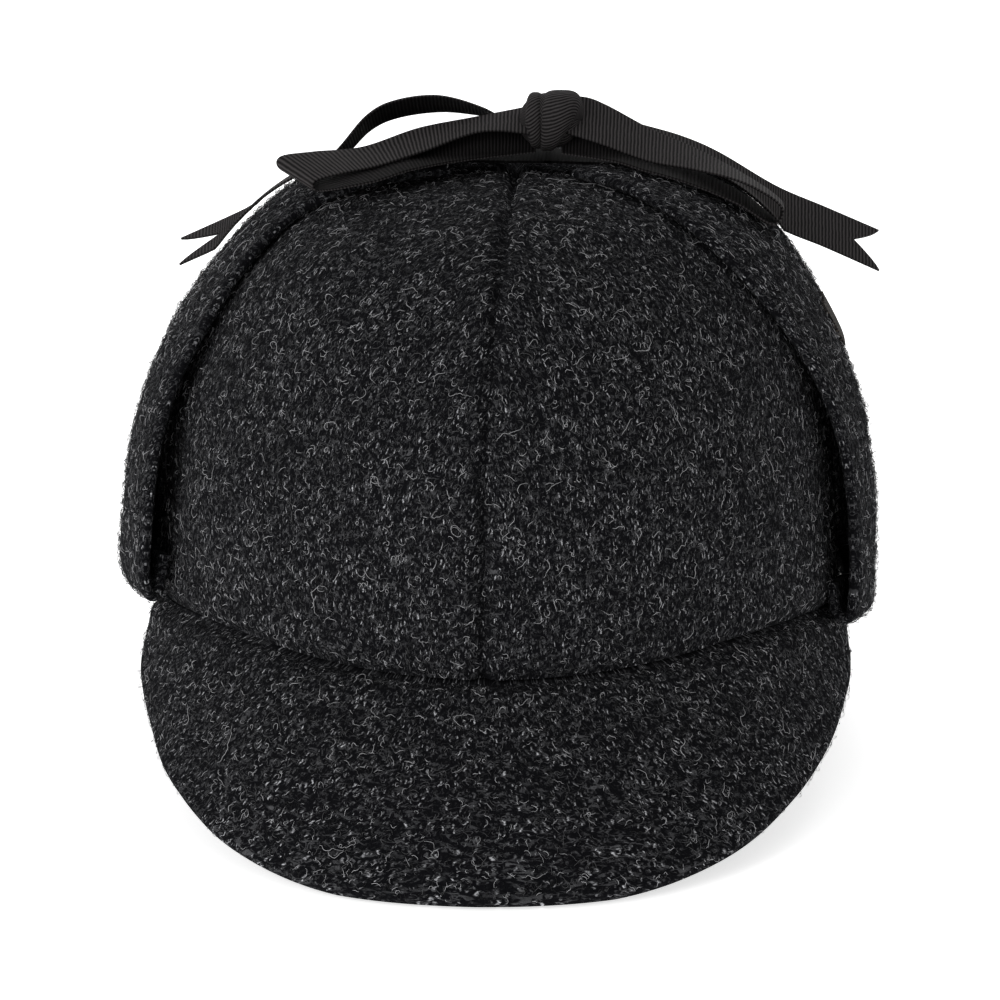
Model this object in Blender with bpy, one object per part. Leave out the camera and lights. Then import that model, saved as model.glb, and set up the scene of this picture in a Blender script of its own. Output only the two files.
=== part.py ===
"""Deerstalker hat with its ear flaps tied up over the crown, resting on its two peaks.

Metres, +Z up. The hat faces -Y, it stands on z = 0, and the crown is centred on x = y = 0.
Left and right are as seen from the front, so left is -X.
"""
import math

import bmesh
import bpy
from mathutils import Vector

GAP = 0.0003                    # clearance between two pieces that are sewn or tied together

CROWN_HALF_WIDTH = 0.0880       # outside, at the rim
CROWN_HALF_LENGTH = 0.1000      # outside, at the rim
CROWN_TOP = 0.1500              # height of the top above the table
CROWN_WALL = 0.0025             # tweed with its backing
CROWN_LEAN = 0.0040             # how far the soft top leans to the right
LEAN_POWER = 3                  # how late the lean sets in on the way up
CROWN_TIP_RADIUS = 0.0010       # where the four panels meet
PLAN_POWER = 3.6                # fullness of the shoulders, 2 is an ellipsoid
RISE_POWER = 2.4                # fullness of the sides

RIM_FRONT = 0.0452              # height of the rim at the middle of each peak
RIM_SIDE = 0.0385               # height of the rim at the sides
RIM_ARCH = 0.0025               # how far the rim rises beside each peak

PEAK_REACH = 0.0392             # how far a peak stands out at its middle
PEAK_THICKNESS = 0.0045         # two layers of tweed on a stiff board
PEAK_CROWNING = 0.0030          # how far its slope bulges
PEAK_END_ANGLE = 84.0           # degrees from the middle to each end
PEAK_END_LIFT = 0.0260          # height of a peak's edge at its ends

FLAP_THICKNESS = 0.0030         # tweed outside and inside
FLAP_STANDOFF = 0.0085          # middle of the flap to the crown, where it stands off the side
FLAP_CLEARANCE = 0.0006         # flap to crown where it lies on it
FLAP_HALF_ANGLE = 30.0          # degrees of the crown that half a flap covers low down

LABEL_WIDTH = 0.0220
LABEL_HEIGHT = 0.0120
LABEL_THICKNESS = 0.0008
LABEL_ACROSS = 0.46             # the label's middle, as a share of the flap's width from its front
LABEL_UP = 0.57                 # the label's middle, as a share of the flap's length from the rim

RIBBON_WIDTH = 0.0150
RIBBON_THICKNESS = 0.0010
KNOT_WIDTH = 0.0150             # along X
KNOT_DEPTH = 0.0150             # along Y
KNOT_HEIGHT = 0.0155
KNOT_ROUNDING = 0.0040
KNOT_OFFSET = 0.0125            # the knot's middle, right of the crown's
KNOT_BACK = 0.0020              # the knot's middle, behind the crown's
TIE_LAP = 0.0080                # how far a tie is sewn along its flap
RIBBON_CLEARANCE = 0.0005       # under a ribbon that lies over a flap or a tie
TIE_EASE = 0.0100               # length in which a ribbon comes down from a tie to its flap
LOOP_LEFT_REACH = 0.0555
LOOP_RIGHT_REACH = 0.0520
TAIL_LEFT_REACH = 0.0885
TAIL_RIGHT_REACH = 0.0770
TAIL_NOTCH = 0.0060             # depth of the V cut in a tail's end

FACET_ANGLE = 6.0               # degrees of the crown in one facet, shared by panels and peaks
PANEL_RISE_STEPS = 14
PEAK_SLOPE_STEPS = 4
FLAP_STEPS = (10, 28)
LABEL_STEPS = (4, 2)
RIBBON_STEPS = (2, 20)
LEAN_ROUNDS = 4                 # tries in which a height over the leaning crown settles
SLOPE_STEP = 0.002              # step, as a share or in radians, over which a slope is taken
SHARP_ANGLE = 40.0              # degrees past which an edge is drawn sharp

# The rim, a row for each 15 degrees from a peak's middle to the side: shares of its arch and of its
# fall to the side.
RIM_SHAPE = (
    # arch, side
    (0.00, 0.00),
    (0.15, 0.00),
    (0.60, 0.00),
    (1.00, 0.00),
    (0.90, 0.15),
    (0.40, 0.50),
    (0.00, 1.00),
)

# A peak's outline, a row for each 15 degrees from its middle: its reach as a share of the middle's, and
# the height of its edge as a share of the height at its ends.
PEAK_SHAPE = (
    # reach, lift
    (1.00, 0.00),
    (0.95, 0.00),
    (0.76, 0.14),
    (0.505, 0.37),
    (0.29, 0.60),
    (0.175, 0.88),
    (0.11, 1.05),
)

# A flap from its seam at the rim, round its fold and up to its tip. Climb is a share of the way up
# the crown, out is a share of the stand-off, and left and right are shares of the half angle.
FLAP_SHAPE = (
    # climb, out, left, right
    (0.024, 0.00, 0.92, 0.78),
    (0.002, 0.12, 0.94, 0.80),
    (-0.018, 0.42, 0.96, 0.81),
    (-0.014, 0.78, 0.98, 0.82),
    (0.016, 1.00, 1.00, 0.83),
    (0.070, 1.02, 1.03, 0.83),
    (0.140, 0.98, 1.03, 0.81),
    (0.230, 0.82, 0.97, 0.81),
    (0.330, 0.53, 0.88, 0.82),
    (0.430, 0.21, 0.78, 0.84),
    (0.520, 0.04, 0.70, 0.93),
    (0.620, 0.00, 0.65, 1.05),
    (0.720, 0.00, 0.62, 1.12),
    (0.820, 0.00, 0.65, 1.15),
    (0.910, 0.00, 0.72, 1.12),
    (0.965, 0.00, 0.95, 1.15),
)

# The ribbons, from the knot outwards. Reach is a share of the piece's own reach, sway (backwards) and
# rise (from the knot's middle) are shares of the knot's height, turn and lean are degrees: turn swings
# the ribbon's rear edge outwards, lean raises it. Width is a share of the ribbon's, less where the knot
# gathers it.
LOOP_LEFT_PATH = (
    # reach, sway, rise, turn, lean, width
    (0.00, -0.06, -0.00, 0, 10, 0.60),
    (0.23, -0.13, -0.04, 2, 8, 0.75),
    (0.48, -0.32, -0.18, 8, 12, 0.95),
    (0.70, -0.58, -0.51, 18, 6, 1.00),
    (0.88, -0.81, -0.57, 32, 10, 1.00),
    (1.00, -0.94, -0.65, 42, 14, 1.00),
    (0.99, -1.03, -0.82, 42, 12, 1.00),
    (0.86, -1.23, -0.91, 32, 8, 1.00),
    (0.64, -1.16, -0.80, 18, 4, 1.00),
    (0.35, -0.71, -0.57, 6, 0, 0.90),
    (0.14, -0.19, -0.36, 2, 0, 0.75),
    (0.00, -0.06, -0.27, 0, 0, 0.60),
)
LOOP_RIGHT_PATH = (
    # reach, sway, rise, turn, lean, width
    (0.00, 0.00, 0.06, 0, 32, 0.95),
    (0.20, -0.06, -0.13, 0, 28, 1.00),
    (0.40, -0.13, -0.38, 0, 20, 1.00),
    (0.60, -0.26, -0.57, 0, 8, 1.00),
    (0.80, -0.32, -0.84, 0, -4, 1.00),
    (0.95, -0.39, -1.14, 0, -8, 1.00),
    (1.00, -0.39, -1.37, 0, -8, 1.00),
    (0.97, -0.45, -1.54, 0, -8, 1.00),
    (0.80, -0.71, -1.19, 0, -4, 1.00),
    (0.60, -0.77, -0.88, 0, 0, 1.00),
    (0.40, -0.71, -0.64, 0, 0, 1.00),
    (0.20, -0.52, -0.47, 0, 0, 0.90),
    (0.00, -0.13, -0.38, 0, 0, 0.80),
)
TAIL_LEFT_PATH = (
    # reach, sway, rise, turn, lean, width
    (0.00, 0.52, 0.16, 0, 0, 0.50),
    (0.12, 0.65, -0.12, 0, 0, 0.60),
    (0.23, 0.71, 0.09, 0, -2, 0.80),
    (0.35, 0.74, 0.13, 0, -4, 1.00),
    (0.44, 0.77, -0.08, 0, -5, 1.00),
    (0.51, 0.81, -0.40, 0, -4, 1.00),
    (0.58, 0.84, -0.85, 0, -2, 1.00),
    (0.67, 0.84, -1.33, 0, 0, 1.00),
    (0.80, 0.84, -1.89, 2, 6, 1.00),
    (1.00, 0.81, -2.45, 4, 12, 1.00),
)
TAIL_RIGHT_PATH = (
    # reach, sway, rise, turn, lean, width
    (0.00, 0.39, -0.08, 0, 20, 0.60),
    (0.12, 0.55, -0.20, 0, 16, 0.80),
    (0.24, 0.65, -0.42, 0, 14, 1.00),
    (0.37, 0.65, -0.62, 0, 15, 1.00),
    (0.49, 0.65, -0.93, 0, 20, 1.00),
    (0.67, 0.61, -1.54, 0, 29, 1.00),
    (0.83, 0.61, -1.90, 0, 29, 1.00),
    (1.00, 0.61, -2.29, 0, 30, 1.00),
)

TWEED = {"name": "tweed", "color": (0.021, 0.021, 0.024, 1.0), "roughness": 0.95}
RIBBON = {"name": "ribbon", "color": (0.020, 0.019, 0.020, 1.0), "roughness": 0.55}
LABEL = {"name": "label", "color": (0.012, 0.012, 0.013, 1.0), "roughness": 0.70}


def clear_scene():
    for old in list(bpy.data.objects):
        bpy.data.objects.remove(old, do_unlink=True)


def make_material(look):
    material = bpy.data.materials.new(look["name"])
    material.use_nodes = True
    shader = material.node_tree.nodes["Principled BSDF"]
    shader.inputs["Base Color"].default_value = look["color"]
    shader.inputs["Roughness"].default_value = look["roughness"]
    shader.inputs["Metallic"].default_value = 0.0
    return material


def smooth_table(rows, share):
    """Read a table at a share of its length, on a smooth curve through its rows."""
    place = min(max(share, 0.0), 1.0) * (len(rows) - 1)
    start = min(int(place), len(rows) - 2)
    t = place - start
    before, first, second, after = (rows[min(max(start + step, 0), len(rows) - 1)] for step in (-1, 0, 1, 2))
    return [
        0.5 * (2 * b + (c - a) * t + (2 * a - 5 * b + 4 * c - d) * t**2 + (3 * b - a - 3 * c + d) * t**3)
        for a, b, c, d in zip(before, first, second, after)
    ]


def rim_level(longitude):
    """Height of the rim; longitude 0 is +X and 90 degrees is the back."""
    from_peak = math.degrees(math.acos(min(1.0, abs(math.sin(longitude)))))
    arch, side = smooth_table(RIM_SHAPE, from_peak / 90)
    return RIM_FRONT + RIM_ARCH * arch + (RIM_SIDE - RIM_FRONT) * side


def crown_point(longitude, climb, inset=0.0):
    """A point of the crown; climb runs from 0 at the rim to 1 at the top, and straight down below 0."""
    angle = min(max(climb, 0.0), 1.0) * math.pi / 2
    spread = math.cos(angle) ** (2 / PLAN_POWER)
    rise = math.sin(angle) ** (2 / RISE_POWER)
    rim = rim_level(longitude)
    x = (CROWN_HALF_WIDTH - inset) * spread * math.cos(longitude) + CROWN_LEAN * rise**LEAN_POWER
    y = (CROWN_HALF_LENGTH - inset) * spread * math.sin(longitude)
    z = rim + (CROWN_TOP - inset - rim) * (rise + min(climb, 0.0))
    return Vector((x, y, z))


def surface_normal(surface, u, v):
    across = surface(min(u + SLOPE_STEP, 1.0), v) - surface(max(u - SLOPE_STEP, 0.0), v)
    along = surface(u, min(v + SLOPE_STEP, 1.0)) - surface(u, max(v - SLOPE_STEP, 0.0))
    return across.cross(along).normalized()


def finish(name, bm, material):
    bmesh.ops.recalc_face_normals(bm, faces=bm.faces)
    if bm.calc_volume(signed=True) < 0:
        bmesh.ops.reverse_faces(bm, faces=bm.faces)
    mesh = bpy.data.meshes.new(name)
    bm.to_mesh(mesh)
    bm.free()
    mesh.shade_smooth()
    mesh.set_sharp_from_angle(angle=math.radians(SHARP_ANGLE))
    mesh.materials.append(material)
    piece = bpy.data.objects.new(name, mesh)
    bpy.context.scene.collection.objects.link(piece)
    return piece


def two_skins(name, steps, place, material):
    """A closed solid between two skins; place(u, v, skin) gives a point of skin 0 or skin 1."""
    bm = bmesh.new()
    bmesh.ops.create_grid(bm, x_segments=steps[0], y_segments=steps[1], size=1.0)
    outer = bm.verts[:]
    extruded = bmesh.ops.extrude_face_region(bm, geom=bm.faces[:])["geom"]
    inner = [item for item in extruded if isinstance(item, bmesh.types.BMVert)]
    for skin, verts in enumerate((outer, inner)):
        for vert in verts:
            u, v = (vert.co.x + 1) / 2, (vert.co.y + 1) / 2
            vert.co = place(u, v, skin)
    return finish(name, bm, material)


def sheet(name, steps, surface, thickness, material):
    """A sheet of even thickness, half of it on each side of the surface."""
    def place(u, v, skin):
        return surface(u, v) + surface_normal(surface, u, v) * thickness * (0.5 - skin)

    return two_skins(name, steps, place, material)


def crown_panel(name, right, rear, material):
    """A quarter of the crown, with half a seam's gap along both of its straight edges."""
    tip_spread = CROWN_TIP_RADIUS / CROWN_HALF_WIDTH
    highest = math.acos(tip_spread ** (PLAN_POWER / 2)) / (math.pi / 2)

    def place(u, v, skin):
        point = crown_point(u * math.pi / 2, v * highest, CROWN_WALL * skin)
        lean = crown_point(math.pi / 2, v * highest, CROWN_WALL * skin).x
        x = right * (point.x - lean + GAP / 2) + lean
        return Vector((x, rear * (point.y + GAP / 2), point.z))

    return two_skins(name, (round(90 / FACET_ANGLE), PANEL_RISE_STEPS), place, material)


def peak(name, rear, material):
    """A crescent from the rim down to the table, cut level along its seam and its edge."""
    facets = round(PEAK_END_ANGLE / FACET_ANGLE)

    def place(u, v, skin):
        angle = (2 * u - 1) * facets * FACET_ANGLE
        longitude = math.radians(90 - angle)
        reach, lift = smooth_table(PEAK_SHAPE, abs(angle) / 90)
        seam = crown_point(longitude, 0.0)
        seam.z -= GAP
        outward = Vector((seam.x / CROWN_HALF_WIDTH**2, seam.y / CROWN_HALF_LENGTH**2, 0)).normalized()
        drop = seam.z - PEAK_END_LIFT * max(lift, 0.0)
        point = seam + outward * PEAK_REACH * reach * v
        point.z = seam.z - drop * v
        slope = Vector((drop, PEAK_REACH * reach)).normalized()
        bulge = PEAK_CROWNING * 4 * v * (1 - v) * reach
        point += outward * slope.x * bulge
        point.z += slope.y * bulge
        point -= outward * skin * PEAK_THICKNESS / slope.x
        point.y *= rear
        return point

    return two_skins(name, (2 * facets, PEAK_SLOPE_STEPS), place, material)


def flap_surface(right):
    """The middle of a flap; u runs from front to back and v from the rim to the tip."""
    seat = FLAP_CLEARANCE + FLAP_THICKNESS / 2

    def surface(u, v):
        climb, out, left, right_width = smooth_table(FLAP_SHAPE, v)
        width = right_width if right > 0 else left
        spread = math.radians(FLAP_HALF_ANGLE) * width * (2 * u - 1)
        longitude = spread if right > 0 else math.pi - spread
        point = crown_point(longitude, climb)
        side = crown_point(longitude + SLOPE_STEP, climb) - crown_point(longitude - SLOPE_STEP, climb)
        low = max(climb, 0.0)
        up = crown_point(longitude, low + SLOPE_STEP) - crown_point(longitude, low - SLOPE_STEP)
        normal = side.cross(up).normalized()
        return point + normal * (seat + (FLAP_STANDOFF - seat) * out)

    return surface


def flap(name, right, material):
    return sheet(name, FLAP_STEPS, flap_surface(right), FLAP_THICKNESS, material)


def flap_label(name, material):
    """A small plain label sewn flat on the outside of the right flap."""
    surface = flap_surface(1)
    tenth = 0.1
    u_size = (surface(LABEL_ACROSS + tenth, LABEL_UP) - surface(LABEL_ACROSS, LABEL_UP)).length / tenth
    v_size = (surface(LABEL_ACROSS, LABEL_UP + tenth) - surface(LABEL_ACROSS, LABEL_UP)).length / tenth
    lift = FLAP_THICKNESS / 2 + GAP

    def place(u, v, skin):
        flap_u = LABEL_ACROSS + (u - 0.5) * LABEL_WIDTH / u_size
        flap_v = LABEL_UP + (v - 0.5) * LABEL_HEIGHT / v_size
        point = surface(flap_u, flap_v)
        out = surface_normal(surface, flap_u, flap_v)
        if out.x < 0:
            out = -out
        return point + out * (lift + LABEL_THICKNESS * skin)

    return two_skins(name, LABEL_STEPS, place, material)


def cover_height(x, y):
    """Height of the flaps' outer side over the crown's top, at a place seen from above."""
    grow = FLAP_CLEARANCE + FLAP_THICKNESS
    rise = 1.0
    for _ in range(LEAN_ROUNDS):
        across = (x - CROWN_LEAN * rise**LEAN_POWER) / (CROWN_HALF_WIDTH + grow)
        spread = math.hypot(across, y / (CROWN_HALF_LENGTH + grow))
        rise = max(0.0, 1 - spread**PLAN_POWER) ** (1 / RISE_POWER)
    return RIM_FRONT + (CROWN_TOP + grow - RIM_FRONT) * rise


def tie_end(side):
    return flap_surface(side)(0.5, 1.0).x + side * TIE_LAP


def ribbon_seat(x):
    """Least height of a ribbon's middle over the flaps, where it also clears the ties."""
    side = 1 if x > KNOT_OFFSET else -1
    beyond = min(max((x - tie_end(side)) * side / TIE_EASE, 0.0), 1.0)
    ease = beyond * beyond * (3 - 2 * beyond)
    return RIBBON_CLEARANCE + RIBBON_THICKNESS / 2 + (GAP + RIBBON_THICKNESS) * (1 - ease)


def knot_middle():
    lowest = cover_height(KNOT_OFFSET, 0.0) + RIBBON_THICKNESS + 2 * GAP
    return Vector((KNOT_OFFSET, KNOT_BACK, lowest + KNOT_HEIGHT / 2))


def ribbon(name, path, reach, side, notch, material):
    """A bow's loop or tail, which leaves the knot on the given side and lies clear above the ties."""
    start = knot_middle() + Vector((side * (KNOT_WIDTH / 2 + GAP), 0, 0))

    def middle(share):
        out, sway, rise, turn, lean, width = smooth_table(path, share)
        place = start + Vector((side * out * reach, sway * KNOT_HEIGHT, rise * KNOT_HEIGHT))
        turn, lean = math.radians(turn), math.radians(lean)
        level = Vector((side * math.sin(turn), math.cos(turn), 0)) * math.cos(lean)
        return place, (level + Vector((0, 0, math.sin(lean)))) * RIBBON_WIDTH * width

    def surface(u, v):
        cut = notch / reach * (1 - abs(2 * u - 1))
        place, edge = middle(v * (1 - cut))
        point = place + edge * (u - 0.5)
        point.z = max(point.z, cover_height(point.x, point.y) + ribbon_seat(point.x))
        return point

    return sheet(name, RIBBON_STEPS, surface, RIBBON_THICKNESS, material)


def tie(name, side, material):
    """The ribbon sewn on a flap's tip, lying over the crown's top as far as the knot."""
    meeting = KNOT_OFFSET - KNOT_WIDTH / 2 + side * GAP
    length = tie_end(side) - meeting

    def place(u, v, skin):
        x = meeting + length * v
        y = RIBBON_WIDTH * (u - 0.5)
        return Vector((x, y, cover_height(x, 0.0) + GAP + RIBBON_THICKNESS * skin))

    return two_skins(name, RIBBON_STEPS, place, material)


def bow_knot(name, material):
    bm = bmesh.new()
    bmesh.ops.create_cube(bm, size=1.0)
    bmesh.ops.scale(bm, vec=(KNOT_WIDTH, KNOT_DEPTH, KNOT_HEIGHT), verts=bm.verts)
    bmesh.ops.bevel(bm, geom=bm.edges[:], offset=KNOT_ROUNDING, segments=3, profile=0.5,
                    affect="EDGES", material=-1)
    bmesh.ops.translate(bm, vec=knot_middle(), verts=bm.verts)
    return finish(name, bm, material)


def build_hat():
    clear_scene()
    tweed, grosgrain, label = (make_material(look) for look in (TWEED, RIBBON, LABEL))
    for depth, rear in (("front", -1), ("rear", 1)):
        for hand, right in (("left", -1), ("right", 1)):
            crown_panel(f"crown_{depth}_{hand}", right, rear, tweed)
        peak(f"{depth}_peak", rear, tweed)
    for hand, side in (("left", -1), ("right", 1)):
        flap(f"flap_{hand}", side, tweed)
        tie(f"tie_{hand}", side, grosgrain)
    flap_label("flap_label", label)
    bow_knot("bow_knot", grosgrain)
    ribbon("bow_loop_left", LOOP_LEFT_PATH, LOOP_LEFT_REACH, -1, 0.0, grosgrain)
    ribbon("bow_loop_right", LOOP_RIGHT_PATH, LOOP_RIGHT_REACH, 1, 0.0, grosgrain)
    ribbon("bow_tail_left", TAIL_LEFT_PATH, TAIL_LEFT_REACH, -1, TAIL_NOTCH, grosgrain)
    ribbon("bow_tail_right", TAIL_RIGHT_PATH, TAIL_RIGHT_REACH, 1, TAIL_NOTCH, grosgrain)


build_hat()
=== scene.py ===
"""Looks of the deerstalker hat: tweed crown, peaks and ear flaps, ribbon bow, loose wool and the stage.

Metres, +Z up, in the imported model's frame: the hat faces -Y and stands on z = 0. Left is -X. Cloth
patterns are laid out in millimetres, in a UV map that is the cloth spread flat.
"""

import math

import bmesh
import bpy
import numpy as np
from bpy.props import FloatProperty, FloatVectorProperty, IntProperty, PointerProperty
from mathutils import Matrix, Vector


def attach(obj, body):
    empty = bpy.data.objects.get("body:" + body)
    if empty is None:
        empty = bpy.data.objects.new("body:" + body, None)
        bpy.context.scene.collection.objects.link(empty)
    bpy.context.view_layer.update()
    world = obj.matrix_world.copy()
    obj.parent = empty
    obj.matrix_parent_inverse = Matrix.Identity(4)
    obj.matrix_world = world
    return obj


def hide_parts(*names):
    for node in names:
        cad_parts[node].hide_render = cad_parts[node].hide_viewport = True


bl_info = {
    "name": "Deerstalker hat",
    "version": (1, 0, 0),
    "blender": (4, 5, 0),
    "location": "3D View > Sidebar > Hat",
    "description": "Tweed hat with its ear flaps tied up in a ribbon bow",
    "category": "Object",
}

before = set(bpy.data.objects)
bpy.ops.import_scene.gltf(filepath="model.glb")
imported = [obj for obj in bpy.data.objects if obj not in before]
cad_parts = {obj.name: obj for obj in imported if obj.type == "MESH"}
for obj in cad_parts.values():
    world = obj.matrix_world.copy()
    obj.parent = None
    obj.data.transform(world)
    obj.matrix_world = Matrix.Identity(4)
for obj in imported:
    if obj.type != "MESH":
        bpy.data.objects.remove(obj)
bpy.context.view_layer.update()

MM = 0.001
GAP = 0.0003                    # between two pieces that lie on each other
SEAM_GAP = 0.00004              # between two edges that are sewn together
HANDS = (("left", -1), ("right", 1))    # each hand's name and its sign along X

CLOTH_MAP = "Cloth"
CUT_STEP = (171.3, 263.7)       # millimetres of cloth from one piece's cut to the next
BACK_SHIFT = 100.0              # a ribbon's back lies this far aside in its map, and a tie twice as far, where the finish paints shade on them

CROWN_WALL = 0.0025
CROWN_LEAN = 0.0040             # how far the soft top leans to the right
LEAN_POWER = 3
CROWN_TIP_RADIUS = 0.0010
PLAN_POWER = 3.6                # fullness of the shoulders
RISE_POWER = 2.4                # fullness of the sides

RIM_FRONT = 0.0452
RIM_SIDE = 0.0385
RIM_ARCH = 0.0025

PEAK_CROWNING = 0.0030
PEAK_END_ANGLE = 84.0
PEAK_END_LIFT = 0.0260
PEAK_ROUND_START = 73.0         # a peak's ends are rounded from this angle on, in degrees
PEAK_ROUNDING = 0.88
PEAK_EDGE_FILL = 0.0028         # what the round edge needs to reach as far as a square one

FLAP_STANDOFF = 0.0085
FLAP_CLEARANCE = 0.0006
FLAP_HALF_ANGLE = 30.0
LEFT_FOLD_LIFT = 0.028          # the left flap is folded this much higher, as a climb
FOLD_REACH = (0.20, 0.50)       # the lift fades out between these shares of the flap's length

LABEL_SIZE = (0.0130, 0.0108)
LABEL_THICKNESS = 0.0008
LABEL_PLACE = (0.52, 0.572)      # across and along the flap

RIBBON_THICKNESS = 0.0006
KNOT_WIDTH = 0.0150
KNOT_HEIGHT = 0.0155
KNOT_OFFSET = 0.0125
KNOT_BACK = 0.0020
KNOT_SINK = 0.0045              # how deep loops and tails start inside the knot
KNOT_FULLNESS = 2.5             # of its section seen from the side
TIE_LAP = 0.0080
TIE_OVERLAP = 0.0010            # how far each tie runs on past the knot's middle, and lies under it
RIBBON_CLEARANCE = 0.0009
TIE_EASE = 0.0100
LOOP_REACH = {"left": 0.0555, "right": 0.0520}
TAIL_REACH = {"left": 0.0885, "right": 0.0770}
TAIL_NOTCH = 0.0060

LEAN_ROUNDS = 4
SLOPE_STEP = 0.002

# The rim, a row for each 15 degrees from a peak's middle to the side; both columns are shares.
RIM_SHAPE = (
    # arch, side
    (0.00, 0.00),
    (0.15, 0.00),
    (0.60, 0.00),
    (1.00, 0.00),
    (0.90, 0.15),
    (0.40, 0.50),
    (0.00, 1.00),
)

# A peak's outline, a row for each 15 degrees from its middle.
PEAK_SHAPE = (
    # reach, lift
    (1.00, 0.00),
    (0.95, 0.00),
    (0.76, 0.14),
    (0.505, 0.37),
    (0.29, 0.60),
    (0.175, 0.88),
    (0.11, 1.05),
)

# A flap from its seam at the rim, round its fold and up to its tip.
FLAP_SHAPE = (
    # climb, out, left, right, swing
    (0.024, 0.00, 0.92, 0.78, 5.5),
    (0.002, 0.12, 0.94, 0.80, 5.5),
    (-0.018, 0.42, 0.96, 0.81, 5.5),
    (-0.014, 0.78, 0.98, 0.82, 5.5),
    (0.016, 1.00, 1.00, 0.83, 5.5),
    (0.070, 1.02, 1.03, 0.83, 5.5),
    (0.140, 0.98, 1.03, 0.81, 5.5),
    (0.230, 0.82, 0.97, 0.81, 5.0),
    (0.330, 0.53, 0.88, 0.82, 3.5),
    (0.430, 0.21, 0.78, 0.84, 1.0),
    (0.520, 0.04, 0.70, 0.93, 0.0),
    (0.620, 0.00, 0.65, 1.05, 0.0),
    (0.720, 0.00, 0.62, 1.12, 0.0),
    (0.820, 0.00, 0.65, 1.15, 0.0),
    (0.910, 0.00, 0.72, 1.12, 0.0),
    (0.965, 0.00, 0.95, 1.15, 0.0),
)

# The ribbons from the knot outwards: reach is a share of the piece's own, sway (backwards) and rise are
# shares of the knot's height, turn and lean are degrees, and width is a share of the ribbon's.
LOOP_PATH = {"left": (
    (0.00, -0.06, 0.02, 0, 26, 0.80),
    (0.23, -0.13, -0.04, 2, 8, 0.75),
    (0.48, -0.32, -0.27, 8, 10, 1.00),
    (0.70, -0.58, -0.51, 18, 6, 1.00),
    (0.88, -0.81, -0.57, 32, 10, 1.00),
    (1.00, -0.94, -0.65, 42, 14, 1.00),
    (0.99, -1.03, -0.82, 42, 12, 1.00),
    (0.86, -1.23, -0.91, 32, 8, 1.00),
    (0.64, -1.16, -0.78, 18, 10, 1.00),
    (0.35, -0.62, -0.46, 6, 30, 1.00),
    (0.14, -0.20, -0.26, 2, 40, 1.00),
    (0.00, 0.06, -0.20, 0, 44, 0.95),
), "right": (
    (0.00, 0.00, 0.10, 0, 34, 0.80),
    (0.10, -0.02, 0.05, 0, 34, 0.96),
    (0.20, -0.06, -0.07, 0, 30, 1.00),
    (0.40, -0.13, -0.38, 0, 20, 1.00),
    (0.60, -0.26, -0.57, 0, 8, 1.00),
    (0.80, -0.32, -0.84, 0, -4, 1.00),
    (0.95, -0.39, -1.14, 0, -8, 1.00),
    (1.00, -0.39, -1.37, 0, -8, 1.00),
    (0.95, -0.50, -1.62, 0, -17, 1.00),
    (0.80, -0.66, -1.30, 0, -22, 1.00),
    (0.60, -0.66, -0.98, 0, -20, 1.00),
    (0.40, -0.52, -0.64, 0, -2, 1.00),
    (0.20, -0.26, -0.36, 0, 22, 1.00),
    (0.00, 0.04, -0.22, 0, 38, 1.00),
)}
TAIL_PATH = {"left": (
    (0.00, 0.52, -0.10, 0, 0, 0.60),
    (0.07, 0.60, -0.16, 0, -8, 0.70),
    (0.15, 0.68, -0.01, 0, -20, 0.90),
    (0.27, 0.72, 0.11, 0, -27, 1.00),
    (0.39, 0.74, 0.01, 0, -28, 1.00),
    (0.47, 0.78, -0.24, 0, -26, 1.00),
    (0.555, 0.84, -0.80, 0, -20, 1.00),
    (0.67, 0.84, -1.32, 0, -4, 1.00),
    (0.80, 0.84, -1.90, 2, 12, 1.00),
    (1.00, 0.81, -2.48, 4, 13, 1.00),
), "right": (
    (0.00, 0.39, -0.08, 0, 20, 0.60),
    (0.12, 0.55, -0.20, 0, 16, 0.80),
    (0.24, 0.65, -0.42, 0, 14, 1.00),
    (0.37, 0.65, -0.62, 0, 15, 1.00),
    (0.49, 0.65, -0.93, 0, 20, 1.00),
    (0.67, 0.61, -1.54, 0, 29, 1.00),
    (0.83, 0.61, -1.90, 0, 29, 1.00),
    (1.00, 0.61, -2.29, 0, 30, 1.00),
)}

KNOT_RIB_BEND = 0.12

# Parts of the knot: the half width along X, the middle along X and the half height round it are read
# from tables that go once round the knot, from its top over its front and its bottom to its back.
KNOT_PARTS = {
    # half widths, middles along X, half depth, half height, how square its section is, ribs' slant
    "core": ((0.0080, 0.0080, 0.0076, 0.0076), (0.0128, 0.0126, 0.0124, 0.0128), 0.0062, 0.0070, 2.2, -1.3),
    "wrap": ((0.0058, 0.0043, 0.0024, 0.0042), (0.0156, 0.0142, 0.0118, 0.0142), 0.0073, 0.0077, 3.4, 0.30),
    "fold": ((0.0024, 0.0024, 0.0020, 0.0022), (0.0088, 0.0088, 0.0096, 0.0095), 0.0068, 0.0071, 3.2, 0.75),
}

# Mesh steps across and along each kind of piece.
PANEL_STEPS = (76, 84)
PANEL_CROWDING = (0.80, 0.78)   # how much closer the steps lie near the edges
PEAK_CROWDING = 0.85
PEAK_HEM = 0.012                # hems' widths, as shares of a piece's size
FLAP_HEMS = (0.020, 0.009)
LABEL_HEMS = (0.03, 0.05)
PEAK_STEPS = (150, 30)
FLAP_STEPS = (52, 104)
LABEL_STEPS = (18, 14)
KNOT_SEGMENTS = (96, 28)
RIBBON_STEPS = (10, 170)
TIE_STEPS = (8, 40)
ARC_SAMPLES = 1500
SHARP_ANGLE = 50.0

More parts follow.
